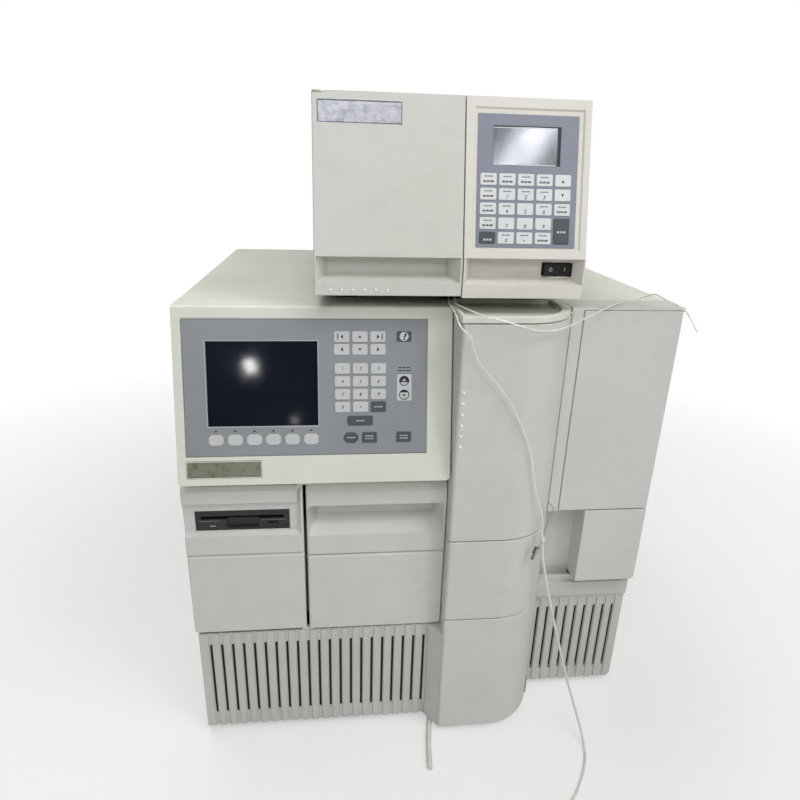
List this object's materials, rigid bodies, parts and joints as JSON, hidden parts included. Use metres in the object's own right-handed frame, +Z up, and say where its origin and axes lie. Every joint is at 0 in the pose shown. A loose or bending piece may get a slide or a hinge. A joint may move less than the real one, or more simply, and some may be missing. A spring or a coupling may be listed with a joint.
{
  "type": "liquid chromatography system",
  "caption": "Bench-top liquid chromatography stack: a separations module with keypad, sample carousel, pump bay and column oven, with an absorbance detector standing on top.",
  "frame": {"origin": "middle of the footprint on the bench, tubes left out", "axes": "+X to the operator's right, +Y from the front to the back, +Z up"},
  "size_m": [0.578, 0.6652, 0.782],
  "materials": {
    "casing": "fine textured moulded plastic",
    "sheet": "painted steel sheet",
    "zinc": "plated steel",
    "membrane": "printed membrane",
    "key_light": "printed membrane",
    "key_dark": "printed membrane",
    "display": "dark display window",
    "display_silver": "silver-grey display window",
    "plate": "bare anodised plate",
    "black": "black moulding",
    "foam": "open-cell filter",
    "steel": "stainless steel",
    "liner": "moulded liner",
    "rack": "moulded rack",
    "vial": "clear glass",
    "rubber": "rubber",
    "ptfe": "fluoropolymer tube",
    "clear": "translucent tube"
  },
  "bodies": {
    "module": {"base_pan": "sheet", "levelling_feet": "rubber", "side_panel_left": "casing", "side_panel_right": "casing", "rear_panel": "sheet", "top_cover": "casing", "keypad_fascia": "casing", "keypad_overlay": "membrane", "display_glass": "display", "keys_light": "key_light", "keys_dark": "key_dark", "module_nameplate": "plate", "disk_panel": "casing", "disk_drive": "black", "grille_left": "casing", "middle_cover": "casing", "base_cover": "casing", "top_tray": "casing", "oven_housing": "casing", "lower_cover": "casing", "grille_right": "casing", "fluidics_liner": "liner", "pump_heads": "steel", "inject_valve": "steel", "sample_chamber": "liner", "oven_liner": "sheet", "column": "steel", "fan_housing": "black", "power_inlet": "black", "rear_connectors": "black", "grille_filters": "foam", "tube_clip": "black", "capillary_right": "steel", "capillary_down": "steel", "loop_tube": "clear", "tube_union": "ptfe", "drain_tube": "ptfe", "hanging_fitting": "steel", "drain_hose": "ptfe"},
    "tall_door": {"tall_door": "casing"},
    "sample_door": {"sample_door": "casing"},
    "oven_door": {"oven_door": "casing"},
    "eject_button": {"disk_eject_button": "black"},
    "carousel": {"carousel": "rack", "vials": "vial"},
    "needle": {"needle_carriage": "steel"},
    "fan": {"fan_rotor": "black"},
    "detector": {"detector_bezel": "casing", "detector_overlay": "membrane", "detector_display": "display_silver", "detector_keys_light": "key_light", "detector_keys_dark": "key_dark", "detector_cover": "sheet", "detector_base": "sheet", "detector_feet": "rubber", "optics_plate": "sheet", "detector_rear": "black"},
    "detector_door": {"detector_door": "casing", "detector_nameplate": "plate"},
    "rocker": {"power_rocker": "black"}
  },
  "joints": [
    {"name": "tall_door_hinge", "type": "hinge", "parent": "module", "child": "tall_door", "pos_m": [0.14948, -0.21575, 0.432], "axis": [0, 0, 1], "range_deg": [0, 105], "deforming": ["capillary_down", "loop_tube", "capillary_right"]},
    {"name": "sample_door_hinge", "type": "hinge", "parent": "module", "child": "sample_door", "pos_m": [-0.145, -0.2389, 0.266], "axis": [0, 0, -1], "range_deg": [0, 95]},
    {"name": "oven_door_hinge", "type": "hinge", "parent": "module", "child": "oven_door", "pos_m": [0.2854, -0.2093, 0.438], "axis": [0, 0, 1], "range_deg": [0, 110]},
    {"name": "eject_press", "type": "slide", "parent": "module", "child": "eject_button", "axis": [0, 1, 0], "range_m": [0, 0.004], "stiffness_N_per_m": 150},
    {"name": "carousel_turn", "type": "hinge", "parent": "module", "child": "carousel", "pos_m": [-0.134, -0.0759, 0.183], "axis": [0, 0, 1], "continuous": true},
    {"name": "needle_lift", "type": "slide", "parent": "module", "child": "needle", "axis": [0, 0, -1], "range_m": [0, 0.036]},
    {"name": "fan_spin", "type": "hinge", "parent": "module", "child": "fan", "pos_m": [-0.136, 0.2511, 0.428], "axis": [0, 1, 0], "continuous": true},
    {"name": "detector_lift", "type": "slide", "parent": "module", "child": "detector", "axis": [0, 0, 1], "range_m": [0, 0.06]},
    {"name": "detector_door_hinge", "type": "hinge", "parent": "detector", "child": "detector_door", "pos_m": [-0.129, -0.1994, 0.684], "axis": [0, 0, -1], "range_deg": [0, 95]},
    {"name": "power_rock", "type": "hinge", "parent": "detector", "child": "rocker", "pos_m": [0.12825, -0.2179, 0.6135], "axis": [0, 0, 1], "range_deg": [-12, 0]}
  ]
}
